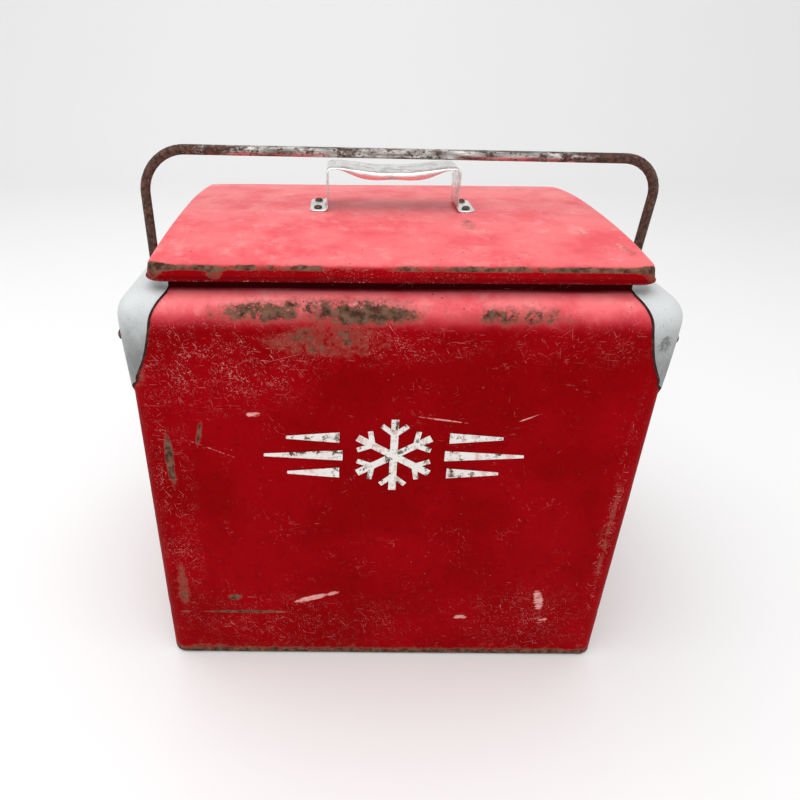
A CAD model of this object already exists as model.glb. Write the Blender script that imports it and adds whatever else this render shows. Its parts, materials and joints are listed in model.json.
import bpy
import bmesh
import json
import math
from mathutils import Matrix, Vector, noise


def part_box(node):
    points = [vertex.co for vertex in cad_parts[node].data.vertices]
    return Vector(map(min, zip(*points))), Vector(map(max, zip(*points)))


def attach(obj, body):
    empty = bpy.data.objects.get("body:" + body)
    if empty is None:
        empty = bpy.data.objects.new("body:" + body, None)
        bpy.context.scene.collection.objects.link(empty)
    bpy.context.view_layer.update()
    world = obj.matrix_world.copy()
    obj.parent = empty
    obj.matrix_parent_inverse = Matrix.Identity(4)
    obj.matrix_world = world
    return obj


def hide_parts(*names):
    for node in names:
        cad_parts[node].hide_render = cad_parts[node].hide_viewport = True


# Worn pressed-steel picnic cooler. Metres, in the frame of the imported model:
# X along the length, Y from front to back, Z up, origin at the centre of the base.

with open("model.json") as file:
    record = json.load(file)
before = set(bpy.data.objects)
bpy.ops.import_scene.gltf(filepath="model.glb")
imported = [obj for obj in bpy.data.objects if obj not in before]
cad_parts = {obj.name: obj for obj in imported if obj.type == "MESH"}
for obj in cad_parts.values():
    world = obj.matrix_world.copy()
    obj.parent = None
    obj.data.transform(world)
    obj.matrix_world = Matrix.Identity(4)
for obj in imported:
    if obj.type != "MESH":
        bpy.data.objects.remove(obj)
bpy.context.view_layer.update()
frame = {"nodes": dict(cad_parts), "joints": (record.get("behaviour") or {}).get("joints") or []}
NODES = frame["nodes"]
MM = 0.001
SIGNS = ((-1, -1), (-1, 1), (1, -1), (1, 1))

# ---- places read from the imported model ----
SHELL_HALF_X, SHELL_HALF_Y, NECK_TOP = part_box("outer_shell")[1]
NECK_HALF_X, NECK_HALF_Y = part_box("inner_liner")[1].xy
HEM_HALF_X, HEM_HALF_Y, LID_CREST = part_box("lid_shell")[1]
HEM_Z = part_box("lid_shell")[0].z
CAP_HALF_X, CAP_HALF_Y, CAP_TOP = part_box("right_end_cap")[1]
PIVOT_Z = next(j for j in frame["joints"] if j["name"] == "bail_swing")["pos_m"][2]
BAIL_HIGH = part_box("bail_handle")[1]
STRAP_LOW, STRAP_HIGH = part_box("lid_handle")

# ---- shape of the sheet metal ----
SHEET = 0.9 * MM
CORNER_R = 14 * MM
NECK_CORNER_R = 12 * MM
SHOULDER_TOP = 411 * MM
SHOULDER_START = 387 * MM
BASE_ROUND = 4 * MM
BASE_FLANGE = 14 * MM
HEM_CORNER_R = 17 * MM
LID_FLARE = 0.2
LID_EDGE_R = 5 * MM
LID_ARCH = 12 * MM
LID_ARCH_HALF = HEM_HALF_Y + 5 * MM
CAP_BULGE_Z = 387 * MM
CAP_FLAT_Z = 305 * MM
CAP_SHEET = 1 * MM
CAP_FLAT_X = SHELL_HALF_X + CAP_SHEET
CAP_TOP_ROUND = SHOULDER_TOP + CAP_SHEET
CAP_CORNER_R = 17.5 * MM
CAP_LOW_CORNER_R = 15 * MM
CAP_BOSS_R = 24 * MM
CAP_SCREW_Y, CAP_SCREW_Z = 151 * MM, 372 * MM
ROD_R = 4.75 * MM

# Edge of an end cap as (height, X) on the front and rear faces, and (height, half width) on its end.
SEAM = [
    (0.3390, 0.2220), (0.3580, 0.2128), (0.3810, 0.2063), (0.3950, 0.2030),
    (0.4045, 0.1975), (0.4115, 0.1905),
]
SHIELD = [(0.2460, 0.0240), (0.2620, 0.0360), (0.2780, 0.0700), (0.3030, 0.1320), (0.3380, 0.1715)]

# Counts of steps along the long and short sides of a ring, and round each of its corners.
RING_RUNS = (52, 38)
RING_ARC = 8


# ---- mesh helpers ----

def new_piece(name, verts, faces):
    """A smooth-shaded mesh object from points and faces."""
    mesh = bpy.data.meshes.new(name)
    mesh.from_pydata([tuple(v) for v in verts], [], faces)
    mesh.update()
    obj = bpy.data.objects.new(name, mesh)
    bpy.context.scene.collection.objects.link(obj)
    mesh.shade_smooth()
    return obj


def clean(obj):
    """Merge doubled points and drop empty faces."""
    merge = 0.02 * MM
    bm = bmesh.new()
    bm.from_mesh(obj.data)
    bmesh.ops.remove_doubles(bm, verts=bm.verts, dist=merge)
    bmesh.ops.dissolve_degenerate(bm, dist=merge, edges=bm.edges)
    bm.to_mesh(obj.data)
    bm.free()
    obj.data.update()


def grid_faces(rows, columns, closed):
    """Quads between neighbouring rows of points."""
    faces = []
    span = columns if closed else columns - 1
    for row in range(rows - 1):
        for column in range(span):
            step = (column + 1) % columns
            low, high = row * columns, (row + 1) * columns
            faces.append((low + column, low + step, high + step, high + column))
    return faces


def skin(name, rows, closed=True):
    """A surface through rows of points that all have the same count."""
    verts = [p for row in rows for p in row]
    return new_piece(name, verts, grid_faces(len(rows), len(rows[0]), closed))


def ring(half_x, half_y, radius):
    """Plan points of a rounded rectangle with their outward directions, anticlockwise."""
    points = []
    corners = ((1, 1), (-1, 1), (-1, -1), (1, -1))
    for k, (sx, sy) in enumerate(corners):
        centre = Vector((sx * (half_x - radius), sy * (half_y - radius)))
        for i in range(RING_ARC + 1):
            angle = math.pi / 2 * (k + i / RING_ARC)
            out = Vector((math.cos(angle), math.sin(angle)))
            points.append((centre + out * radius, out))
        nx, ny = corners[(k + 1) % 4]
        following = Vector((nx * (half_x - radius), ny * (half_y - radius)))
        last, out = points[-1]
        target = following + out * radius
        count = RING_RUNS[k % 2]
        for i in range(1, count):
            points.append((last.lerp(target, i / count), out))
    return points


def join(bm, a, b):
    """Quads between two closed loops of points."""
    for j in range(len(a)):
        k = (j + 1) % len(a)
        bm.faces.new((a[j], a[k], b[k], b[j]))


def lathe(bm, centre, axis, profile, sides):
    """Turned skin in a bmesh from profile points (along the axis, radius). Gives its loops of points."""
    axis = Vector(axis).normalized()
    side = axis.orthogonal().normalized()
    other = axis.cross(side)
    angles = [2 * math.pi * j / sides for j in range(sides)]
    spokes = [side * math.cos(a) + other * math.sin(a) for a in angles]
    loops = []
    for along, radius in profile:
        middle = Vector(centre) + axis * along
        loops.append([bm.verts.new(middle + spoke * radius) for spoke in spokes])
    for a, b in zip(loops, loops[1:]):
        join(bm, a, b)
    return loops


def from_bmesh(name, bm):
    """A mesh object that takes over a bmesh."""
    mesh = bpy.data.meshes.new(name)
    bm.to_mesh(mesh)
    bm.free()
    obj = bpy.data.objects.new(name, mesh)
    bpy.context.scene.collection.objects.link(obj)
    return obj


def steps_along(route):
    """Each point of a route with its number and the direction across it, to the left."""
    for k, point in enumerate(route):
        along = (route[min(k + 1, len(route) - 1)] - route[max(k - 1, 0)]).normalized()
        yield k, point, Vector((-along.y, along.x))


def mirrored(half):
    """A symmetric row of (across, drop) points from its half, which starts at the middle."""
    return [(-across, drop) for across, drop in half][::-1] + half[1:]


def bevel(obj, width, segments, angle):
    """Round the edges that are sharper than an angle in degrees."""
    edge = obj.modifiers.new("edge", "BEVEL")
    edge.width = width
    edge.segments = segments
    edge.limit_method = "ANGLE"
    edge.angle_limit = math.radians(angle)


def smooth_step(t):
    """Eased rise from 0 to 1 as t goes from 0 to 1."""
    t = min(max(t, 0.0), 1.0)
    return t * t * (3 - 2 * t)


def through(points, t):
    """Smooth value at t of a curve through (t, value) points in rising order of t."""
    if t <= points[0][0]:
        return points[0][1]
    if t >= points[-1][0]:
        return points[-1][1]
    k = next(i for i in range(len(points) - 1) if t <= points[i + 1][0])
    (t0, v0), (t1, v1) = points[k], points[k + 1]

    def slope(i):
        if i <= 0 or i >= len(points) - 1:
            i = min(max(i, 1), len(points) - 1)
            return (points[i][1] - points[i - 1][1]) / (points[i][0] - points[i - 1][0])
        return (points[i + 1][1] - points[i - 1][1]) / (points[i + 1][0] - points[i - 1][0])

    span = t1 - t0
    u = (t - t0) / span
    m0, m1 = slope(k) * span, slope(k + 1) * span
    return (
        (2 * u ** 3 - 3 * u ** 2 + 1) * v0
        + (u ** 3 - 2 * u ** 2 + u) * m0
        + (-2 * u ** 3 + 3 * u ** 2) * v1
        + (u ** 3 - u ** 2) * m1
    )


def dent(obj, depth, size, seed, hollows=(), calm=None):
    """Push the sheet in and out along its normals: broad waves, and single round hollows."""
    shift = Vector((seed * 3.1, seed * 1.7, seed * 0.9))
    normals = [v.normal.copy() for v in obj.data.vertices]
    for v, n in zip(obj.data.vertices, normals):
        wave = noise.noise(v.co / size + shift) + 0.4 * noise.noise(v.co / size * 2.7 + shift)
        move = depth * wave
        for centre, radius, hollow in hollows:
            reach = (v.co - Vector(centre)).length / radius
            move -= hollow * smooth_step(1 - reach)
        v.co += n * (move if calm is None else move * calm(v.co))
    obj.data.update()


def away_from_trim(place):
    """0 under the emblems and the end caps, rising to 1 on the open walls."""
    blend, emblem_half_x, emblem_z, emblem_half_z = 0.02, 0.120, 0.262, 0.042
    cap_from_x, cap_from_z = 0.178, 0.235
    emblem = max(abs(place.x) - emblem_half_x, abs(place.z - emblem_z) - emblem_half_z)
    cap = max(cap_from_x - abs(place.x), cap_from_z - place.z)
    return smooth_step(min(emblem, cap) / blend)


def thicken(obj, thickness):
    """Give an open skin the thickness of its sheet, inwards."""
    solid = obj.modifiers.new("sheet", "SOLIDIFY")
    solid.thickness = thickness
    solid.offset = -1


def finish_piece(obj, body, slot, materials, *replaced):
    """Materials, body, slot and the CAD nodes that a piece stands for."""
    obj.data.materials.clear()
    for material in materials:
        obj.data.materials.append(material)
    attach(obj, body)
    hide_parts(*replaced)


# ---- material helpers ----

class Shade:
    """Wires one procedural material on object coordinates, in metres."""

    def __init__(self, name, metallic=0.0, specular=0.5):
        self.material = bpy.data.materials.new(name)
        self.material.use_nodes = True
        self.nodes = self.material.node_tree.nodes
        self.links = self.material.node_tree.links
        self.bsdf = self.nodes["Principled BSDF"]
        self.bsdf.inputs["Metallic"].default_value = metallic
        self.bsdf.inputs["Specular IOR Level"].default_value = specular
        self.place = self.nodes.new("ShaderNodeTexCoord").outputs["Object"]
        split = self.nodes.new("ShaderNodeSeparateXYZ")
        self.links.new(self.place, split.inputs[0])
        self.x, self.y, self.z = split.outputs

    def feed(self, socket, value):
        """Link a socket, or set a number or a colour."""
        if isinstance(value, bpy.types.NodeSocket):
            self.links.new(value, socket)
        elif isinstance(value, tuple) and len(value) == 3 and socket.type == "RGBA":
            socket.default_value = (*value, 1)
        else:
            socket.default_value = value

    def make(self, kind, inputs, **settings):
        """A node of a kind; its inputs are sockets or values, by name or number."""
        node = self.nodes.new("ShaderNode" + kind)
        for key, value in settings.items():
            setattr(node, key, value)
        for key, value in inputs.items():
            self.feed(node.inputs[key], value)
        return node

    def maths(self, operation, a, b=0.0, clamp=False):
        return self.make("Math", {0: a, 1: b}, operation=operation, use_clamp=clamp).outputs[0]

    def add(self, a, b, clamp=False):
        return self.maths("ADD", a, b, clamp)

    def mul(self, a, b):
        return self.maths("MULTIPLY", a, b)

    def most(self, a, b):
        return self.maths("MAXIMUM", a, b)

    def without(self, a, b):
        """a where b is absent."""
        return self.mul(a, self.maths("SUBTRACT", 1.0, b, True))

    def step(self, value, low, high, start=0.0, end=1.0):
        """Smooth change from start to end as the value goes from low to high."""
        inputs = {"Value": value, "From Min": low, "From Max": high, "To Min": start, "To Max": end}
        return self.make("MapRange", inputs, interpolation_type="SMOOTHSTEP").outputs[0]

    def cells(self, size, turn=(0, 0, 0), shift=(0, 0, 0)):
        """Object coordinates measured in cells of a given size, turned as asked."""
        scale = size if isinstance(size, tuple) else (size, size, size)
        angles = [math.radians(a) for a in turn]
        inputs = {"Vector": self.place, "Scale": scale, "Rotation": angles, "Location": shift}
        return self.make("Mapping", inputs, vector_type="TEXTURE").outputs[0]

    def noise(self, size, detail=4.0, rough=0.55, turn=(0, 0, 0), shift=(0, 0, 0), bend=0.0):
        """Cloudy value between 0 and 1, around 0.5."""
        cells = self.cells(size, turn, shift)
        inputs = {"Vector": cells, "Scale": 1.0, "Detail": detail, "Roughness": rough, "Distortion": bend}
        return self.make("TexNoise", inputs).outputs[0]

    def to_nearest(self, size, shift=(0, 0, 0)):
        """Distance in cells to the nearest of the points that are scattered one to a cell."""
        cells = self.cells(size, shift=shift)
        return self.make("TexVoronoi", {"Vector": cells, "Scale": 1.0}).outputs["Distance"]

    def specks(self, size, radius, shift=(0, 0, 0)):
        """Round specks scattered one to a cell, of a radius in cells."""
        return self.step(self.to_nearest(size, shift), radius, radius * 0.6)

    def scratches(self, length, width, turn, bar, shift):
        """Sparse thin streaks along the turned X axis; a higher bar leaves fewer."""
        streak = self.noise((length, width, width), 1.5, 0.5, turn, shift, 0.35)
        return self.step(streak, bar, bar + 0.03)

    def patch(self, centre, size, turn=(0, 0, 0)):
        """1 at the centre of a turned ellipsoid, falling smoothly to 0 at its surface."""
        cells = self.cells(size, turn, centre)
        length = self.make("VectorMath", {0: cells}, operation="LENGTH").outputs["Value"]
        return self.step(length, 1.0, 0.25)

    def strongest(self, masks):
        """The largest of several masks at each place."""
        total = masks[0]
        for mask in masks[1:]:
            total = self.most(total, mask)
        return total

    def patches(self, spots):
        """The strongest of several patches, each (centre, size, strength) with an optional turn about Y."""
        masks = []
        for centre, size, strength, *turn in spots:
            masks.append(self.mul(self.patch(centre, size, (0, *turn, 0) if turn else (0, 0, 0)), strength))
        return self.strongest(masks)

    def scuffs(self, runs, spread):
        """Scratches in several directions: runs are (turn, length, width, bar), spread shifts each run."""
        return self.strongest([
            self.scratches(length, width, turn, bar, [k * part for part in spread])
            for k, (turn, length, width, bar) in enumerate(runs)
        ])

    def mix(self, share, a, b):
        """Colour a changing to colour b as the share goes from 0 to 1."""
        return self.make("Mix", {0: share, 6: a, 7: b}, data_type="RGBA").outputs[2]

    def blend(self, share, a, b):
        """Number a changing to number b as the share goes from 0 to 1."""
        return self.make("Mix", {0: share, 2: a, 3: b}).outputs[0]

    def bump(self, height, distance, strength):
        inputs = {"Distance": distance, "Strength": strength, "Height": height}
        return self.make("Bump", inputs).outputs[0]

    def done(self, colour, roughness, normal=None, metallic=None):
        self.feed(self.bsdf.inputs["Base Color"], colour)
        self.feed(self.bsdf.inputs["Roughness"], roughness)
        if normal is not None:
            self.links.new(normal, self.bsdf.inputs["Normal"])
        if metallic is not None:
            self.feed(self.bsdf.inputs["Metallic"], metallic)
        return self.material


def rust_colour(shade):
    """Mottled brown rust with lighter orange bloom."""
    mottle = shade.step(shade.noise(0.006, 6), 0.35, 0.65)
    body = shade.mix(mottle, (0.050, 0.024, 0.016), (0.175, 0.090, 0.060))
    bloom = shade.step(shade.noise(0.011, 5, 0.6, shift=(0.3, 0, 0)), 0.55, 0.72)
    return shade.mix(bloom, body, (0.27, 0.115, 0.055))


def enamel(name, deep, mid, faded, fade, shadow, rust_bias, rub_spots, haze, scratches, gloss):
    """Worn red enamel. fade, shadow, rust_bias and haze make masks from a shade; rub_spots are smears."""
    s = Shade(name)
    colour = s.mix(s.step(s.noise(0.09, 4), 0.35, 0.65), deep, mid)
    stain = s.step(s.noise(0.012, 8, 0.7, shift=(0.8, 0, 0)), 0.50, 0.68, 0.0, 0.35)
    colour = s.mix(stain, colour, (0.12, 0.0, 0.002))
    sunned = fade(s)
    colour = s.mix(sunned, colour, (0.70, 0.022, 0.050))
    clouds = s.step(s.noise(0.045, 9, 0.64, shift=(0.1, 0, 0)), 0.34, 0.60, 0.45, 1.0)
    bleached = s.mul(s.mul(sunned, sunned), clouds)
    colour = s.mix(bleached, colour, faded)
    chalk = s.mul(sunned, s.step(s.noise(0.026, 9, 0.74, shift=(0.4, 0.2, 0)), 0.50, 0.70, 0.0, 0.32))
    colour = s.mix(chalk, colour, (0.90, 0.50, 0.48))
    colour = s.mix(shadow(s), colour, (0.045, 0.0, 0.001))
    hazy = haze(s)
    fine = s.scuffs(scratches, (0.11, 0.07, 0.05))
    stray = s.step(s.noise(0.028, 5, 0.6, shift=(0.2, 0.4, 0)), 0.52, 0.68, 0.02, 0.60)
    fine = s.mul(fine, s.add(hazy, stray, True))
    dust = s.step(s.noise(0.0014, 3, 0.7, shift=(0.3, 0, 0.2)), 0.57, 0.63)
    dust = s.mul(dust, s.mul(hazy, s.step(s.noise(0.018, 6, 0.7, shift=(0, 0, 0.5)), 0.46, 0.62)))
    rub = s.add(s.patches(rub_spots), s.noise((0.012, 0.003, 0.003), 7, 0.7, (0, -14, 0), (0.5, 0, 0)))
    rub = s.step(rub, 0.90, 1.06)
    worn = s.strongest([s.mul(fine, 0.60), s.mul(dust, 0.70), rub])
    pale = s.mix(s.noise(0.004, 3), (0.55, 0.10, 0.11), (0.82, 0.50, 0.46))
    colour = s.mix(worn, colour, pale)
    dots = s.specks(0.009, 0.10, (0.2, 0.1, 0))
    dots = s.mul(dots, s.step(s.noise(0.04, 2, shift=(0.9, 0, 0)), 0.45, 0.60))
    coarse = s.noise(0.013, 11, 0.76, shift=(0, 0.6, 0), bend=0.2)
    grit = s.add(s.mul(coarse, 0.7), s.mul(s.noise(0.0030, 5, 0.7), 0.3))
    rust = s.add(rust_bias(s), grit)
    halo = s.step(rust, 0.74, 0.88)
    rust = s.most(s.step(rust, 0.86, 0.94), dots)
    colour = s.mix(s.mul(s.without(halo, rust), 0.55), colour, (0.30, 0.075, 0.055))
    colour = s.mix(rust, colour, rust_colour(s))
    rough = s.blend(s.noise(0.03, 5), 0.34, 0.50)
    rough = s.blend(worn, rough, 0.62)
    rough = s.blend(rust, rough, 0.88)
    s.feed(s.bsdf.inputs["Specular IOR Level"], s.blend(s.without(bleached, rust), gloss, 0.40))
    return s.done(colour, rough, s.bump(s.noise(0.0026, 5, 0.7), 0.0007, s.blend(rust, 0.05, 0.75)))


def body_red():
    """Enamel of the casing: pale shoulder, deep walls, rust on the shoulder and the base."""
    front, back, end = -SHELL_HALF_Y, SHELL_HALF_Y, SHELL_HALF_X
    rust_spots = [
        ((-0.110, -0.158, 0.3965), (0.100, 0.03, 0.018), 0.455),
        ((-0.030, -0.158, 0.3955), (0.110, 0.03, 0.020), 0.500),
        ((0.095, -0.158, 0.3950), (0.110, 0.03, 0.018), 0.415),
        ((-0.050, -0.158, 0.4010), (0.165, 0.03, 0.014), 0.415),
        ((-0.060, front, 0.375), (0.100, 0.02, 0.030), 0.355),
        ((-0.203, front, 0.255), (0.007, 0.02, 0.050), 0.52),
        ((-0.174, front, 0.283), (0.005, 0.02, 0.024), 0.42, 12),
        ((-0.156, front, 0.084), (0.013, 0.02, 0.007), 0.50),
        ((-0.145, front, 0.063), (0.062, 0.02, 0.004), 0.44),
        ((-0.208, front, 0.098), (0.012, 0.02, 0.060), 0.36),
        ((0.212, front, 0.170), (0.005, 0.02, 0.120), 0.34),
        ((-0.190, front, 0.006), (0.060, 0.02, 0.016), 0.40),
        ((0.170, front, 0.004), (0.080, 0.02, 0.015), 0.38),
        ((-0.220, front, 0.345), (0.014, 0.02, 0.030), 0.36),
        ((0.100, back, 0.398), (0.110, 0.03, 0.018), 0.48),
        ((-0.080, back, 0.060), (0.090, 0.02, 0.012), 0.40),
        ((end, 0.06, 0.070), (0.02, 0.070, 0.014), 0.42),
        ((-end, -0.08, 0.110), (0.02, 0.040, 0.016), 0.42),
    ]
    rub_spots = [
        ((-0.077, front, 0.083), (0.036, 0.02, 0.007), 0.62, -18),
        ((-0.055, front, 0.090), (0.014, 0.02, 0.005), 0.55, -20),
        ((0.158, front, 0.083), (0.010, 0.02, 0.030), 0.55, -12),
        ((0.165, front, 0.055), (0.016, 0.02, 0.014), 0.42),
        ((0.080, front, 0.058), (0.013, 0.02, 0.006), 0.54),
        ((-0.124, front, 0.304), (0.013, 0.02, 0.005), 0.56),
        ((0.040, front, 0.300), (0.045, 0.02, 0.0016), 0.55, 8),
        ((0.118, front, 0.303), (0.020, 0.02, 0.0014), 0.55, -24),
        ((-0.165, front, 0.268), (0.060, 0.02, 0.0012), 0.44, 24),
        ((0.060, back, 0.160), (0.050, 0.02, 0.010), 0.50, 20),
        ((end, -0.05, 0.150), (0.02, 0.030, 0.008), 0.50),
        ((-end, 0.05, 0.130), (0.02, 0.036, 0.008), 0.50),
    ]
    haze_spots = [
        ((-0.150, front, 0.355), (0.110, 0.05, 0.060), 1.00),
        ((-0.020, front, 0.372), (0.120, 0.05, 0.026), 0.75),
        ((-0.205, front, 0.200), (0.030, 0.05, 0.220), 0.60),
        ((0.150, front, 0.375), (0.090, 0.05, 0.030), 0.40),
        ((0.212, front, 0.170), (0.010, 0.05, 0.190), 0.90),
        ((-0.090, front, 0.050), (0.170, 0.05, 0.055), 0.45),
        ((0.150, front, 0.060), (0.090, 0.05, 0.060), 0.50),
        ((0.000, back, 0.300), (0.200, 0.05, 0.110), 0.55),
        ((end, 0.000, 0.120), (0.05, 0.150, 0.110), 0.60),
        ((-end, 0.000, 0.120), (0.05, 0.150, 0.110), 0.60),
    ]

    def fade(s):
        lift = s.add(s.z, s.mul(s.noise(0.02, 5), 0.008))
        return s.mul(s.step(lift, 0.384, 0.413), s.step(s.z, 0.4118, 0.4102))

    def shadow(s):
        return s.step(s.z, 0.4100, 0.4120)

    def rust_bias(s):
        edge = s.step(s.z, 0.018, 0.005, 0.0, 0.50)
        upright = s.step(s.z, 0.060, 0.000, 0.0, 0.27)
        crease = s.mul(s.step(s.z, 0.0605, 0.0625), s.step(s.z, 0.0650, 0.0630, 0.0, 0.20))
        return s.add(s.most(s.patches(rust_spots), s.most(edge, upright)), crease)

    scratches = [
        ((0, 3, 0), 0.013, 0.0009, 0.70),
        ((0, -41, 0), 0.011, 0.0008, 0.71),
        ((0, 55, 0), 0.009, 0.0008, 0.70),
        ((0, 82, 0), 0.014, 0.0008, 0.71),
        ((0, -16, 0), 0.050, 0.0007, 0.755),
        ((0, 33, 0), 0.040, 0.0007, 0.755),
    ]
    return enamel("red_enamel_body", (0.230, 0.0002, 0.0012), (0.295, 0.0004, 0.0030), (0.93, 0.19, 0.20),
                  fade, shadow, rust_bias, rub_spots, lambda s: s.patches(haze_spots), scratches, 0.015)


def lid_red():
    """Enamel of the lid: faded and scuffed on top, deep red and rusty on the skirt."""
    rust_spots = [
        ((-HEM_HALF_X, -HEM_HALF_Y, 0.430), (0.030, 0.024, 0.016), 0.50),
        ((HEM_HALF_X, -HEM_HALF_Y, 0.430), (0.026, 0.022, 0.016), 0.46),
        ((-HEM_HALF_X, HEM_HALF_Y, 0.430), (0.024, 0.024, 0.014), 0.44),
        ((HEM_HALF_X, HEM_HALF_Y, 0.430), (0.026, 0.026, 0.014), 0.46),
        ((-0.150, -HEM_HALF_Y, 0.427), (0.014, 0.012, 0.008), 0.44),
        ((0.082, -0.010, 0.442), (0.014, 0.012, 0.01), 0.30),
        ((0.066, -0.060, 0.441), (0.016, 0.045, 0.01), 0.33),
        ((-0.165, 0.095, 0.438), (0.030, 0.040, 0.01), 0.28),
        ((0.190, -0.120, 0.436), (0.014, 0.035, 0.01), 0.30),
    ]
    rub_spots = [
        ((-0.036, -0.030, 0.442), (0.016, 0.008, 0.01), 0.50),
        ((0.125, -0.002, 0.443), (0.026, 0.003, 0.01), 0.50),
        ((0.150, -0.030, 0.442), (0.006, 0.030, 0.01), 0.44),
        ((0.166, -0.075, 0.440), (0.007, 0.036, 0.01), 0.48),
        ((0.187, -0.118, 0.437), (0.007, 0.030, 0.01), 0.48),
        ((-0.170, -0.060, 0.440), (0.014, 0.030, 0.01), 0.42),
    ]
    haze_spots = [
        ((-0.150, -0.020, 0.440), (0.070, 0.120, 0.04), 0.50),
        ((0.000, 0.120, 0.440), (0.200, 0.050, 0.04), 0.70),
        ((0.000, -0.150, 0.434), (0.210, 0.020, 0.02), 0.60),
        ((0.120, -0.060, 0.440), (0.090, 0.090, 0.04), 0.40),
    ]

    def fade(s):
        return s.step(s.z, 0.4305, 0.4345)

    def shadow(s):
        return s.step(s.z, 0.4262, 0.4236, 0.0, 0.5)

    def rust_bias(s):
        rim = s.mul(s.step(s.z, 0.4280, 0.4305), s.step(s.z, 0.4350, 0.4325, 0.0, 0.465))
        hem = s.step(s.z, 0.4225, 0.4213, 0.0, 0.10)
        skirt = s.step(s.maths("ABSOLUTE", s.y), HEM_HALF_Y - 0.012, HEM_HALF_Y - 0.006)
        length = s.step(s.noise(0.05, 3, shift=(0.6, 0, 0)), 0.36, 0.55, 0.55, 1.0)
        return s.add(s.patches(rust_spots), s.most(s.mul(s.mul(rim, skirt), length), hem))

    def haze(s):
        hem = s.mul(s.step(s.z, 0.4226, 0.4216), s.step(s.noise(0.02, 4), 0.3, 0.6, 0.5, 1.0))
        return s.most(s.patches(haze_spots), hem)

    scratches = [
        ((0, 0, 6), 0.030, 0.0010, 0.70),
        ((0, 0, -30), 0.022, 0.0009, 0.71),
        ((0, 0, 55), 0.018, 0.0009, 0.71),
        ((0, 0, 90), 0.020, 0.0009, 0.72),
    ]
    return enamel("red_enamel_lid", (0.24, 0.0003, 0.002), (0.31, 0.0006, 0.004), (0.82, 0.135, 0.145),
                  fade, shadow, rust_bias, rub_spots, haze, scratches, 0.02)


def cap_white():
    """Chalky white paint that greys with grime low down, with a smudge and rusty chips."""
    s = Shade("cap_white", specular=0.3)
    grime = s.step(s.add(s.z, s.mul(s.noise(0.02, 6), 0.03)), 0.424, 0.374)
    cloud = s.step(s.noise((0.020, 0.020, 0.045), 5, 0.60), 0.30, 0.72)
    colour = s.mix(s.noise(0.05, 3), (0.56, 0.58, 0.585), (0.66, 0.68, 0.685))
    colour = s.mix(s.mul(grime, s.blend(cloud, 0.50, 0.80)), colour, (0.085, 0.088, 0.084))
    smudge = s.mul(s.patch((0.217, -CAP_HALF_Y, 0.374), (0.009, 0.02, 0.012)), 0.34)
    smudge = s.step(s.add(smudge, s.noise(0.003, 7, 0.7)), 0.66, 0.86, 0.0, 0.7)
    colour = s.mix(smudge, colour, (0.07, 0.07, 0.07))
    scratches = [
        ((0, 80, 0), 0.018, 0.0008, 0.70),
        ((70, 15, 0), 0.02, 0.0008, 0.70),
        ((0, 30, 90), 0.02, 0.0008, 0.70),
    ]
    colour = s.mix(s.mul(s.scuffs(scratches, (0.1, 0, 0)), 0.5), colour, (0.16, 0.16, 0.16))
    bias = s.most(s.step(s.z, 0.4115, 0.4130, 0.0, 0.12), s.step(s.z, 0.340, 0.300, 0.0, 0.06))
    rust = s.step(s.add(bias, s.noise(0.009, 9, 0.7, shift=(0.4, 0, 0))), 0.70, 0.75)
    colour = s.mix(rust, colour, rust_colour(s))
    rough = s.blend(s.noise(0.02, 4), 0.32, 0.48)
    rough = s.blend(s.most(grime, rust), rough, 0.66)
    return s.done(colour, rough, s.bump(s.noise(0.003, 5), 0.0006, s.blend(rust, 0.05, 0.6)))


def seam_dirt():
    """Dark grime packed along the edge of the caps."""
    s = Shade("seam_dirt", specular=0.2)
    colour = s.mix(s.step(s.noise(0.006, 5), 0.4, 0.7), (0.020, 0.008, 0.007), (0.10, 0.030, 0.022))
    return s.done(colour, s.blend(s.noise(0.004, 3), 0.7, 0.95), s.bump(s.noise(0.002, 4), 0.0004, 0.6))


def emblem_white():
    """Chipped white paint of the raised emblem, rubbed through to red and rust."""
    s = Shade("emblem_white", specular=0.3)
    colour = s.mix(s.noise(0.02, 5), (0.70, 0.66, 0.62), (0.84, 0.82, 0.79))
    rub = s.step(s.noise(0.008, 9, 0.72, shift=(0.2, 0, 0.3)), 0.52, 0.58)
    colour = s.mix(s.mul(rub, 0.5), colour, (0.50, 0.20, 0.17))
    chip = s.step(s.noise(0.009, 10, 0.76, shift=(0.7, 0, 0.1)), 0.55, 0.585)
    below = s.mix(s.step(s.noise(0.02, 2), 0.45, 0.55), rust_colour(s), (0.13, 0.12, 0.11))
    colour = s.mix(chip, colour, below)
    rough = s.blend(chip, s.blend(rub, 0.38, 0.6), 0.85)
    return s.done(colour, rough, s.bump(s.add(s.mul(chip, -1.0), s.mul(rub, -0.3)), 0.0004, 0.6))


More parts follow.
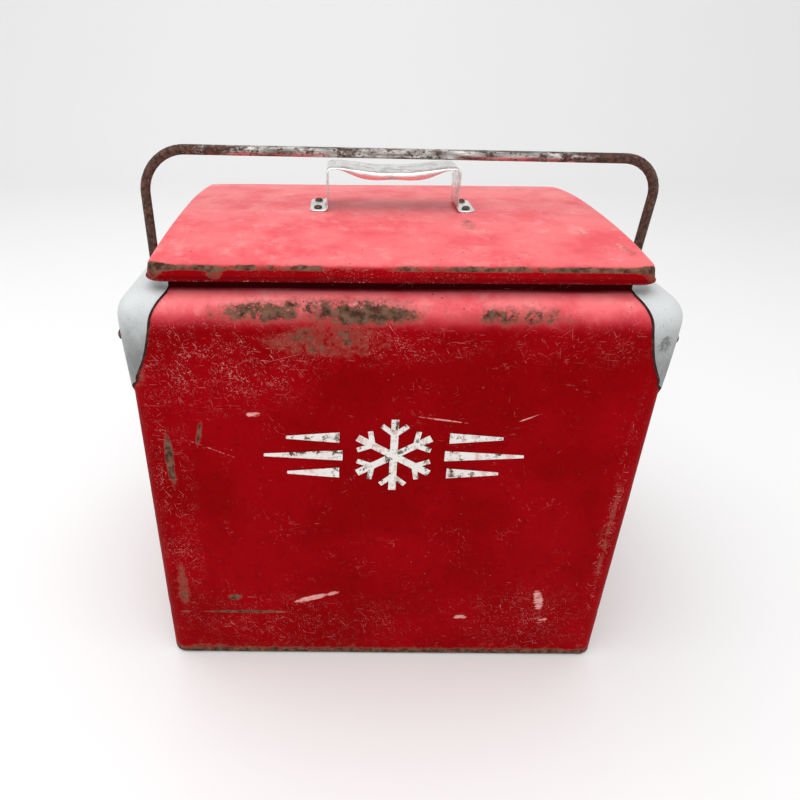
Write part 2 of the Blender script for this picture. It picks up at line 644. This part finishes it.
def bail_metal():
    """Worn plating, pitted along the bar and brown with rust at the bends and legs."""
    s = Shade("bail_metal")
    grain = s.noise((0.030, 0.005, 0.005), 6, 0.6)
    steel = s.mix(s.step(grain, 0.35, 0.65), (0.15, 0.135, 0.125), (0.60, 0.57, 0.54))
    bend = s.step(s.maths("ABSOLUTE", s.x), 0.120, 0.222, 0.0, 0.20)
    leg = s.step(s.z, 0.492, 0.470, 0.0, 0.16)
    pitting = s.noise((0.014, 0.006, 0.010), 10, 0.76, shift=(0.3, 0, 0))
    rust = s.step(s.add(s.add(bend, leg), pitting), 0.50, 0.59)
    pits = s.mul(s.specks((0.0045, 0.003, 0.0035), 0.36), s.step(s.noise(0.016, 3), 0.40, 0.56))
    rust = s.most(rust, pits)
    brown = s.mix(s.step(s.noise(0.004, 7), 0.35, 0.68), (0.030, 0.011, 0.007), (0.13, 0.055, 0.034))
    flecks = s.step(s.noise(0.0022, 5, 0.65, shift=(0, 0.2, 0)), 0.60, 0.68)
    brown = s.mix(s.mul(flecks, 0.6), brown, (0.45, 0.33, 0.27))
    colour = s.mix(rust, steel, brown)
    rough = s.blend(rust, s.blend(grain, 0.26, 0.42), 0.84)
    metal = s.blend(rust, 1.0, 0.0)
    return s.done(colour, rough, s.bump(s.mul(rust, s.noise(0.0018, 5, 0.7)), 0.0007, 0.8), metal)


def strap_metal():
    """Bright pressed strap, dulled, with fine rub marks and a few dark specks."""
    s = Shade("strap_metal", metallic=1.0)
    dull = s.step(s.noise(0.012, 7, 0.65), 0.4, 0.68)
    colour = s.mix(dull, (0.84, 0.83, 0.82), (0.60, 0.59, 0.58))
    scratches = [((0, 0, 0), 0.02, 0.0006, 0.68), ((0, 0, 70), 0.016, 0.0006, 0.68)]
    lines = s.scuffs(scratches, (0, 0, 0))
    colour = s.mix(s.mul(lines, 0.4), colour, (0.40, 0.39, 0.38))
    spots = s.step(s.noise(0.004, 8, 0.7, shift=(0.6, 0, 0)), 0.62, 0.68)
    colour = s.mix(spots, colour, (0.10, 0.06, 0.04))
    rough = s.blend(s.most(dull, spots), 0.22, 0.44)
    return s.done(colour, rough, s.bump(s.add(s.mul(lines, -0.5), s.mul(spots, 0.6)), 0.0003, 0.5))


def rusty_screw():
    """Dark rusted steel of the small fasteners."""
    s = Shade("rusty_screw", metallic=0.35, specular=0.4)
    colour = s.mix(s.step(s.noise(0.0025, 6), 0.4, 0.65), (0.035, 0.02, 0.015), (0.17, 0.10, 0.065))
    rough = s.blend(s.noise(0.003, 4), 0.45, 0.85)
    return s.done(colour, rough, s.bump(s.noise(0.0014, 5), 0.0004, 0.6))


def galvanised():
    """Zinc spangle, dulled."""
    s = Shade("galvanised", metallic=0.9)
    spangle = s.maths("FRACT", s.mul(s.to_nearest(0.012), 3.7))
    colour = s.mix(spangle, (0.46, 0.48, 0.50), (0.66, 0.67, 0.68))
    colour = s.mix(s.step(s.noise(0.05, 6), 0.5, 0.75), colour, (0.36, 0.36, 0.35))
    return s.done(colour, s.blend(s.noise(0.02, 4), 0.34, 0.6), s.bump(s.noise(0.004, 3), 0.0002, 0.4))


def black_rubber():
    """Aged rubber with dust in its pores."""
    s = Shade("black_rubber", specular=0.3)
    colour = s.mix(s.step(s.noise(0.01, 7), 0.4, 0.75), (0.018, 0.018, 0.018), (0.085, 0.08, 0.075))
    return s.done(colour, s.blend(s.noise(0.006, 4), 0.6, 0.85), s.bump(s.noise(0.0012, 3), 0.0003, 0.5))


def glass_wool():
    """Yellowed packing fibres."""
    s = Shade("glass_wool", specular=0.1)
    fibres = s.noise((0.03, 0.002, 0.002), 6, 0.7)
    colour = s.mix(fibres, (0.45, 0.34, 0.16), (0.78, 0.66, 0.38))
    return s.done(colour, s.blend(fibres, 0.85, 1.0), s.bump(fibres, 0.002, 0.8))


# ---- pieces ----

def casing_row(inset_x, inset_y, radius, height):
    """One ring of the casing, drawn in by its insets."""
    points = ring(SHELL_HALF_X - inset_x, SHELL_HALF_Y - inset_y, radius)
    return [(p.x, p.y, height) for p, _ in points]


def make_casing(paint):
    """Casing skin from the turned-in base flange up over the shoulder to the neck's rim."""
    rows = [casing_row(BASE_FLANGE, BASE_FLANGE, CORNER_R * 0.8, 0.0)]
    for k in range(6):
        angle = math.pi / 2 * k / 5
        inset = BASE_ROUND * (1 - math.sin(angle))
        rows.append(casing_row(inset, inset, CORNER_R - inset * 0.5, BASE_ROUND * (1 - math.cos(angle))))
    walls = 46
    for k in range(1, walls + 1):
        rows.append(casing_row(0, 0, CORNER_R, BASE_ROUND + (SHOULDER_START - BASE_ROUND) * k / walls))
    round_x, round_y = SHELL_HALF_X - NECK_HALF_X, SHELL_HALF_Y - NECK_HALF_Y
    for k in range(1, 15):
        angle = math.pi / 2 * k / 14 * 0.97
        draw = 1 - math.cos(angle)
        height = SHOULDER_START + (SHOULDER_TOP - SHOULDER_START) * math.sin(angle)
        rows.append(casing_row(round_x * draw, round_y * draw, CORNER_R - 2 * MM * draw, height))
    for rise, short in ((0.4, 0.3), (1.2, 0.0), (5.0, 0.0), (10.0, 0.0)):
        inset_x, inset_y = round_x - short * MM, round_y - short * MM
        rows.append(casing_row(inset_x, inset_y, NECK_CORNER_R, SHOULDER_TOP + rise * MM))
    rows.append(casing_row(round_x, round_y, NECK_CORNER_R, NECK_TOP - 0.2 * MM))
    casing = skin("casing", rows)
    hollows = [
        ((0.17, -SHELL_HALF_Y, 0.085), 0.045, 0.5 * MM),
        ((-0.06, -SHELL_HALF_Y, 0.09), 0.035, 0.4 * MM),
        ((-0.10, SHELL_HALF_Y, 0.16), 0.060, 0.5 * MM),
        ((SHELL_HALF_X, 0.05, 0.12), 0.050, 0.5 * MM),
    ]
    dent(casing, 0.40 * MM, 0.12, 1, hollows, away_from_trim)
    press_groove(casing)
    thicken(casing, SHEET)
    finish_piece(casing, "chest", "red_paint", [paint], "outer_shell")


def press_groove(casing):
    """Shallow line round the walls where the base pan is spot-welded inside."""
    line_z, reach, deep = 63.5 * MM, 9 * MM, 0.35 * MM
    for v in casing.data.vertices:
        depth = deep * smooth_step(1 - abs(v.co.z - line_z) / reach)
        v.co -= v.normal * depth
    casing.data.update()


def lid_top(y):
    """Height of the arched lid."""
    return LID_CREST - LID_ARCH * (y / LID_ARCH_HALF) ** 2


def lid_row(height_at, extra=0.0):
    """Ring of the lid: the hem's outline drawn in by the flare at its height and by an extra."""
    row = []
    for p, out in ring(HEM_HALF_X, HEM_HALF_Y, HEM_CORNER_R):
        height = height_at(p.y)
        q = p - out * (LID_FLARE * max(height - HEM_Z, 0) + extra)
        row.append((q.x, q.y, height))
    return row


def make_lid(paint):
    """Lid cover: rolled hem, flared skirt, rounded edge and arched top."""
    rows = []
    hem = ((-1.6, 0.9), (-1.2, 0.1), (-0.4, -0.3), (0.5, 0.0), (0.9, 0.8), (0.6, 1.6), (0.1, 2.1))
    for out, rise in hem:
        rows.append(lid_row(lambda y, r=rise: HEM_Z + r * MM, -out * MM))
    low = HEM_Z + 2.8 * MM
    steps = 7
    for k in range(steps + 1):
        rows.append(lid_row(lambda y, share=k / steps: low + (lid_top(y) - LID_EDGE_R - low) * share))
    for k in range(1, 8):
        angle = math.pi / 2 * k / 7
        rows.append(lid_row(
            lambda y, a=angle: lid_top(y) - LID_EDGE_R * (1 - math.sin(a)),
            LID_EDGE_R * (1 - math.cos(angle)),
        ))
    edge_inset, count = 13 * MM, 26
    for k in range(count + 1):
        inset = edge_inset + (HEM_HALF_Y - edge_inset) * k / count
        radius = max(HEM_CORNER_R - inset, 0.4 * MM) if k < count else 0.0
        row = ring(HEM_HALF_X - inset, HEM_HALF_Y - inset, radius)
        rows.append([(p.x, p.y, lid_top(p.y)) for p, _ in row])
    lid = skin("lid_cover", rows)
    clean(lid)
    hollows = [
        ((0.13, -0.10, 0.440), 0.060, 1.0 * MM),
        ((-0.11, 0.06, 0.442), 0.070, 0.9 * MM),
        ((0.02, -0.07, 0.441), 0.040, 0.5 * MM),
    ]
    dent(lid, 0.40 * MM, 0.10, 2, hollows)
    thicken(lid, SHEET)
    finish_piece(lid, "lid", "red_paint", [paint], "lid_shell")


def cap_plan(height):
    """Half length, half depth and corner radius of an end cap at a height."""
    neck_x, neck_y, neck_r = NECK_HALF_X + CAP_SHEET, NECK_HALF_Y + CAP_SHEET, NECK_CORNER_R + CAP_SHEET
    if height >= CAP_TOP_ROUND:
        return neck_x, neck_y, neck_r
    if height >= CAP_BULGE_Z:
        rise = (height - CAP_BULGE_Z) / (CAP_TOP_ROUND - CAP_BULGE_Z)
        out = math.sqrt(max(1 - rise * rise, 0))
        full = max(1 - rise ** 2.8, 0) ** (1 / 2.8)
        radius = neck_r + (CAP_CORNER_R - neck_r) * out
        return neck_x + (CAP_HALF_X - neck_x) * full, neck_y + (CAP_HALF_Y - neck_y) * out, radius
    lift = smooth_step((height - CAP_FLAT_Z) / (CAP_BULGE_Z - CAP_FLAT_Z)) ** 0.8
    radius = CAP_LOW_CORNER_R + (CAP_CORNER_R - CAP_LOW_CORNER_R) * lift
    return CAP_FLAT_X + (CAP_HALF_X - CAP_FLAT_X) * lift, CAP_HALF_Y, radius


def cap_reach(height, plan):
    """Length along the cap's outline from the middle of its end to its edge."""
    half_x, half_y, radius = plan
    straight = half_y - radius
    seam_x = through(SEAM, height)
    if seam_x <= half_x - radius:
        by_seam = straight + radius * math.pi / 2 + (half_x - radius - seam_x)
    else:
        by_seam = straight + radius * math.acos((seam_x - half_x + radius) / radius)
    if height < PIVOT_Z:
        drop = min((PIVOT_Z - height) / CAP_BOSS_R, 1.0)
        half = CAP_BOSS_R * math.sqrt(max(1 - drop * drop, 0))
    else:
        half = through(SHIELD, height)
    if half <= straight:
        by_shield = half
    else:
        by_shield = straight + radius * math.asin(min((half - straight) / radius, 1.0))
    return min(by_seam, by_shield) if height < SEAM[0][0] + 2 * MM else by_seam


def cap_point(plan, along):
    """Plan point and outward direction at a length along the outline; negative runs to the front."""
    half_x, half_y, radius = plan
    side = 1 if along >= 0 else -1
    along = abs(along)
    straight = half_y - radius
    quarter = radius * math.pi / 2
    if along <= straight:
        return Vector((half_x, side * along)), Vector((1, 0))
    if along <= straight + quarter:
        angle = (along - straight) / radius
        out = Vector((math.cos(angle), side * math.sin(angle)))
        return Vector((half_x - radius, side * straight)) + out * radius, out
    rest = along - straight - quarter
    return Vector((half_x - radius - rest, side * half_y)), Vector((0, side))


def cap_heights():
    """Heights of the rows of an end cap, from its neck down to the tip of its boss."""
    heights = [SHOULDER_TOP + rise * MM for rise in (5.0, 2.6, 1.2)]
    for k in range(1, 19):
        angle = math.pi / 2 * (1 - k / 18)
        heights.append(CAP_BULGE_Z + (CAP_TOP_ROUND - CAP_BULGE_Z) * math.sin(angle))
    low = 0.3000
    for start, end, count in ((CAP_BULGE_Z, low, 44), (low, PIVOT_Z, 22)):
        heights += [start + (end - start) * k / count for k in range(1, count + 1)]
    heights += [PIVOT_Z - CAP_BOSS_R * math.sin(math.pi / 2 * k / 14) for k in range(1, 14)]
    return heights


def cap_row(height, plan, grow, welt):
    """Points of one row of the right end cap, with a strip of dirt past each edge where it has a welt."""
    reach = cap_reach(height, plan)
    edge = min(1.1 * MM, reach * 0.3)
    count = 64
    side_rows = [((reach - edge) * k / count, 0.0) for k in range(count + 1)]
    side_rows += [(reach - edge * 0.6, 0.30 * MM), (reach, 0.75 * MM)]
    strip = 1.5 * MM if welt else 0.4 * MM
    side_rows += [(reach + strip * 0.5, 0.60 * MM), (reach + strip, 0.85 * MM)]
    row = []
    for along, drop in mirrored(side_rows):
        p, out = cap_point(plan, along)
        q = p + out * (grow - drop)
        row.append((q.x, q.y, height))
    return row


def make_cap(side, paint, dirt):
    """One end cap with its rolled neck lip, wrapped shoulder and pivot boss."""
    rows = []
    neck_plan = cap_plan(CAP_TOP)
    lip = ((0.0, 0.6), (0.5, 0.1), (1.1, 0.2), (1.5, 0.8), (1.6, 1.5), (1.4, 2.2), (0.8, 2.8), (0.1, 3.2))
    for grow, drop in lip:
        rows.append(cap_row(CAP_TOP - drop * MM, neck_plan, grow * MM, False))
    for height in cap_heights():
        plan = cap_plan(height)
        rise = height - CAP_TOP_ROUND
        ease = 0.36 * MM * smooth_step(1 - rise / (2 * MM)) if rise > 0 else 0.0
        rows.append(cap_row(height, plan, ease, height < SHOULDER_TOP))
    rows = [[(side * x, y, z) for x, y, z in (row if side < 0 else row[::-1])] for row in rows]
    name = "end_cap_cover_right" if side > 0 else "end_cap_cover_left"
    cap = skin(name, rows, closed=False)
    columns, dirty = len(rows[0]) - 1, 3
    dent(cap, 0.20 * MM, 0.05, 5 + side)
    thicken(cap, 0.9 * MM)
    finish_piece(cap, "chest", "cap_paint", [paint, dirt], "right_end_cap" if side > 0 else "left_end_cap")
    for polygon in cap.data.polygons:
        column = polygon.index % columns
        if min(column, columns - 1 - column) < dirty:
            polygon.material_index = 1


def rounded_route(corners, radii, spacing):
    """Points along straight runs joined by arcs at the corners, in the X-Z plane."""
    points = [Vector(corners[0])]
    for before, corner, after, radius in zip(corners, corners[1:], corners[2:], radii):
        a, c, b = Vector(before), Vector(corner), Vector(after)
        into, away = (c - a).normalized(), (b - c).normalized()
        turn = into.angle(away)
        cut = radius * math.tan(turn / 2)
        start, end = c - into * cut, c + away * cut
        count = max(3, int(radius * turn / spacing))
        bisector = (away - into).normalized()
        centre = c + bisector * (radius / math.cos(turn / 2))
        for k in range(count + 1):
            p = start.lerp(end, k / count)
            points.append(centre + (p - centre).normalized() * radius)
    points.append(Vector(corners[-1]))
    dense = [points[0]]
    for a, b in zip(points, points[1:]):
        count = max(1, int((b - a).length / spacing))
        dense += [a.lerp(b, k / count) for k in range(1, count + 1)]
    return dense


def make_bail(metal):
    """Carrying bail as it is today: its right corner is pulled out and down a little."""
    leg, top = BAIL_HIGH.x - ROD_R, BAIL_HIGH.z - ROD_R
    eye_x, leg_from = leg - 2.0 * MM, PIVOT_Z + 34 * MM
    spread, sag = 17.5 * MM, 5.0 * MM
    corners = [
        (-eye_x, PIVOT_Z),
        (-leg, leg_from),
        (-leg - 1 * MM, top + 1.0 * MM),
        (leg + spread, top - sag),
        (leg + 12 * MM, PIVOT_Z + 150 * MM),
        (leg, leg_from),
        (eye_x, PIVOT_Z),
    ]
    radii = [60 * MM, 42 * MM, 34 * MM, 300 * MM, 60 * MM]
    route = rounded_route(corners, radii, 6 * MM)
    sides = 24
    rows = []
    for k, point, across in steps_along(route):
        low = (point.y - PIVOT_Z) / (30 * MM) if abs(point.x) > leg - 12 * MM else 1
        flat = 1 - smooth_step(low)
        wobble = 0.5 * MM * noise.noise(Vector((point.x * 14, point.y * 14, 3.3)))
        thick = ROD_R * (1 - 0.44 * flat)
        wide = ROD_R * (1 + 0.75 * flat)
        row = []
        for j in range(sides):
            angle = -2 * math.pi * j / sides
            lump = 1 + 0.02 * noise.noise(Vector((k * 0.6, j * 0.8, 1.0)))
            q = point + across * (math.cos(angle) * thick * lump)
            row.append((q.x, wobble + math.sin(angle) * wide * lump, q.y))
        rows.append(row)
    bail = skin("bail", rows)
    bm = bmesh.new()
    bm.from_mesh(bail.data)
    bm.verts.ensure_lookup_table()
    bm.faces.new(bm.verts[:sides])
    bm.faces.new(bm.verts[-sides:][::-1])
    for side in (-1, 1):
        add_eye(bm, side)
    bmesh.ops.recalc_face_normals(bm, faces=bm.faces)
    bm.to_mesh(bail.data)
    bm.free()
    bail.data.shade_smooth()
    finish_piece(bail, "bail", "bail_steel", [metal], "bail_handle")


def add_eye(bm, side):
    """Flattened eye with its bore, as a ring with rounded rims."""
    inner_x, outer_x = 235.6 * MM, 241.0 * MM
    section = [
        (4.1, 0.0), (4.1, 1.0), (5.0, 1.0), (10.2, 1.0), (11.0, 0.85), (11.0, 0.15), (10.2, 0.0), (5.0, 0.0),
    ]
    profile = [(inner_x + (outer_x - inner_x) * share, radius * MM) for radius, share in section]
    loops = lathe(bm, (0, 0, PIVOT_Z), (side, 0, 0), profile, 40)
    join(bm, loops[-1], loops[0])


def strap_section(half, lip, curl):
    """Half section of the strap from its middle outwards, as (across, drop): a flat band and a lip."""
    flat = half - curl
    points = [(flat * k / 8, 0.25 * MM * (k / 8) ** 2) for k in range(9)]
    for k in range(1, 6):
        angle = math.pi / 2 * k / 5
        points.append((flat + curl * math.sin(angle), 0.25 * MM + curl * (1 - math.cos(angle))))
    base = points[-1]
    points += [(base[0] - 0.2 * lip * k / 3, base[1] + lip * k / 3) for k in range(1, 4)]
    return points


def make_strap(metal):
    """Lid strap: screwed feet, legs, and a grip that dips in the middle and curls over at both edges."""
    foot_z = STRAP_LOW.z + 0.8 * MM
    top = STRAP_HIGH.z - 0.6 * MM
    leg, half, deep = 62.6 * MM, 79.0 * MM, STRAP_HIGH.y
    grip_x, dip_x, dip = 50 * MM, 14 * MM, 4.0 * MM
    corners = [(-half, foot_z), (-leg, foot_z), (-leg, top), (-grip_x, top), (-dip_x, top - dip)]
    corners += [(-x, z) for x, z in corners[::-1]]
    radii = [3.5 * MM, 4.0 * MM, 60 * MM, 70 * MM, 70 * MM, 60 * MM, 4.0 * MM, 3.5 * MM]
    route = rounded_route(corners, radii, 2.2 * MM)
    rows = []
    for _, point, normal in steps_along(route):
        grip = smooth_step((leg - 5 * MM - abs(point.x)) / (34 * MM))
        foot = smooth_step((abs(point.x) - half + 6 * MM) / (6 * MM))
        waist = smooth_step((leg + 1 * MM - abs(point.x)) / (3 * MM)) * (1 - grip)
        wide = deep - 1.0 * MM - 2.5 * MM * waist - 4.0 * MM * foot * foot
        lip = (4.6 * grip - 1.5 * math.exp(-(point.x / 0.016) ** 2) + 0.1) * MM
        row = []
        for across, drop in mirrored(strap_section(wide, lip, (0.3 + 1.6 * grip) * MM)):
            q = point - normal * drop
            row.append((q.x, across, q.y))
        rows.append(row)
    strap = skin("strap_handle", rows, closed=False)
    solid = strap.modifiers.new("sheet", "SOLIDIFY")
    solid.thickness = 1.4 * MM
    solid.offset = 0
    solid.use_even_offset = True
    bevel(strap, 0.4 * MM, 2, 30)
    finish_piece(strap, "lid", "strap_metal", [metal], "lid_handle")


def slotted_screws(name, seats, head_r, head, shank_r, shank):
    """Round-head screws with a slot; seats are (centre of the seat, outward axis, slot direction)."""
    bm = bmesh.new()
    cutter = bmesh.new()
    for centre, axis, slot_way in seats:
        angles = [math.pi / 2 * k / 7 for k in range(7)]
        dome = [(head * math.sin(a), head_r * math.cos(a) ** 0.8) for a in angles]
        profile = [(-shank, shank_r), (0.0, shank_r)] + dome + [(head, head_r * 0.12)]
        loops = lathe(bm, centre, axis, profile, 28)
        bm.faces.new(loops[0][::-1])
        bm.faces.new(loops[-1])
        axis, way = Vector(axis).normalized(), Vector(slot_way).normalized()
        turn = Matrix((way, axis.cross(way), axis)).transposed().to_4x4()
        place = Matrix.Translation(Vector(centre) + axis * head) @ turn
        size = Matrix.Diagonal((head_r * 2.4, head_r * 0.26, head * 0.9, 1))
        bmesh.ops.create_cube(cutter, size=1.0, matrix=place @ size)
    for source in (bm, cutter):
        bmesh.ops.recalc_face_normals(source, faces=source.faces)
    screws, slots = from_bmesh(name, bm), from_bmesh(name + "_slots", cutter)
    cut = screws.modifiers.new("slot", "BOOLEAN")
    cut.operation = "DIFFERENCE"
    cut.object = slots
    cut.solver = "EXACT"
    bpy.context.view_layer.update()
    graph = bpy.context.evaluated_depsgraph_get()
    result = bpy.data.meshes.new_from_object(screws.evaluated_get(graph))
    screws.modifiers.clear()
    screws.data = result
    bpy.data.objects.remove(slots)
    return screws


def make_strap_screws(metal):
    """Four slotted screws through the feet of the strap."""
    screw_x, screw_y, seat = 71.5 * MM, 15 * MM, STRAP_LOW.z + 1.6 * MM
    seats = []
    for k, (sx, sy) in enumerate(SIGNS):
        slot_way = (math.cos(k * 1.3), math.sin(k * 1.3), 0)
        seats.append(((sx * screw_x, sy * screw_y, seat), (0, 0, 1), slot_way))
    screws = slotted_screws("strap_screws", seats, 4.0 * MM, 2.2 * MM, 2.2 * MM, 10 * MM)
    finish_piece(screws, "lid", "screw_steel", [metal], "lid_handle_screws")


def make_cap_screws(metal):
    """Four slotted screws that hold the end caps."""
    seats = []
    for k, (sx, sy) in enumerate(SIGNS):
        centre = (sx * (CAP_HALF_X - 0.2 * MM), sy * CAP_SCREW_Y, CAP_SCREW_Z)
        seats.append((centre, (sx, 0, 0), (0, math.cos(0.5 + k), math.sin(0.5 + k))))
    screws = slotted_screws("cap_screws", seats, 4.8 * MM, 3.0 * MM, 2.0 * MM, 10 * MM)
    finish_piece(screws, "chest", "screw_steel", [metal], "end_cap_screws")


def make_emblem(node, paint):
    """The emblem with softly rounded edges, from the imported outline."""
    bm = bmesh.new()
    bm.from_mesh(NODES[node].data)
    bmesh.ops.remove_doubles(bm, verts=bm.verts, dist=0.01 * MM)
    bmesh.ops.dissolve_limit(bm, angle_limit=math.radians(2), verts=bm.verts, edges=bm.edges)
    obj = from_bmesh(node + "_raised", bm)
    bevel(obj, 0.55 * MM, 3, 40)
    finish_piece(obj, "chest", "emblem_paint", [paint], node)


def paint_node(name, material):
    """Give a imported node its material."""
    NODES[name].data.materials.clear()
    NODES[name].data.materials.append(material)


# ---- stage ----

def make_floor():
    """Pale floor that curves up into a backdrop far behind."""
    s = Shade("studio_floor", specular=0.2)
    tone = s.mix(s.noise(0.5, 3), (0.90, 0.90, 0.90), (0.915, 0.915, 0.915))
    material = s.done(tone, s.blend(s.noise(0.2, 3), 0.55, 0.65))
    near, bend_at, radius, wall, half = -4.0, 2.3, 0.9, 3.5, 6.0
    outline = [(near, 0.0), (0.0, 0.0), (bend_at, 0.0)]
    for k in range(1, 17):
        angle = math.pi / 2 * k / 16
        outline.append((bend_at + radius * math.sin(angle), radius * (1 - math.cos(angle))))
    outline.append((bend_at + radius, wall))
    rows = [[(x, y, z) for x in (-half, half)] for y, z in outline]
    floor = skin("studio_floor", rows, closed=False)
    floor.data.materials.append(material)


def area_light(name, place, aim, size, power):
    """White rectangular light at a place, turned towards its aim."""
    lamp = bpy.data.lights.new(name, "AREA")
    lamp.shape = "RECTANGLE"
    lamp.size, lamp.size_y = size
    lamp.energy = power
    obj = bpy.data.objects.new(name, lamp)
    obj.location = place
    obj.rotation_euler = (Vector(aim) - Vector(place)).to_track_quat("-Z", "Y").to_euler()
    bpy.context.scene.collection.objects.link(obj)


def make_lights():
    """Even white room light with a broad soft key from above."""
    world = bpy.data.worlds.new("studio")
    bpy.context.scene.world = world
    world.use_nodes = True
    background = world.node_tree.nodes["Background"]
    background.inputs["Color"].default_value = (1, 1, 1, 1)
    background.inputs["Strength"].default_value = 0.78
    area_light("key", (-0.5, -0.3, 2.3), (0, 0.1, 0.2), (3.0, 2.4), 30)
    area_light("front_fill", (0.3, -2.2, 1.4), (0, 0, 0.2), (2.0, 1.4), 6)


def make_camera():
    """Standing view from the front, a little left of centre, looking down."""
    camera = bpy.data.cameras.new("camera")
    camera.sensor_width = 36
    camera.lens = 29.9
    camera.shift_x = 0.075
    obj = bpy.data.objects.new("camera", camera)
    obj.location = (-0.0488, -0.667, 0.600)
    down, roll = math.radians(29.4), math.radians(0.45)
    look = Matrix.Rotation(math.pi / 2 - down, 4, "X") @ Matrix.Rotation(roll, 4, "Z")
    obj.rotation_euler = look.to_euler()
    bpy.context.scene.collection.objects.link(obj)
    bpy.context.scene.camera = obj


# ---- assembly ----

def main():
    bpy.context.scene.view_settings.view_transform = "Standard"
    make_camera()
    make_lights()
    make_floor()
    red_body, red_lid = body_red(), lid_red()
    white, dirt, raised = cap_white(), seam_dirt(), emblem_white()
    bail, strap, screw = bail_metal(), strap_metal(), rusty_screw()
    zinc, rubber, wool = galvanised(), black_rubber(), glass_wool()

    make_casing(red_body)
    make_lid(red_lid)
    for side in (-1, 1):
        make_cap(side, white, dirt)
    make_bail(bail)
    make_strap(strap)
    make_strap_screws(screw)
    make_cap_screws(screw)
    for node in ("front_emblem", "rear_emblem"):
        make_emblem(node, raised)
    finishes = {
        red_body: ("bottom_pan",),
        zinc: ("inner_liner", "lid_liner", "drain_spout"),
        wool: ("wall_insulation", "lid_insulation"),
        rubber: ("drain_washer", "drain_plug", "lid_gasket"),
        screw: ("pivot_bolts", "pivot_spacers", "pivot_backing_plates", "pivot_nuts", "drain_locknut",
                "lid_handle_backing_plates", "lid_handle_nuts"),
    }
    for material, nodes in finishes.items():
        for node in nodes:
            paint_node(node, material)


main()
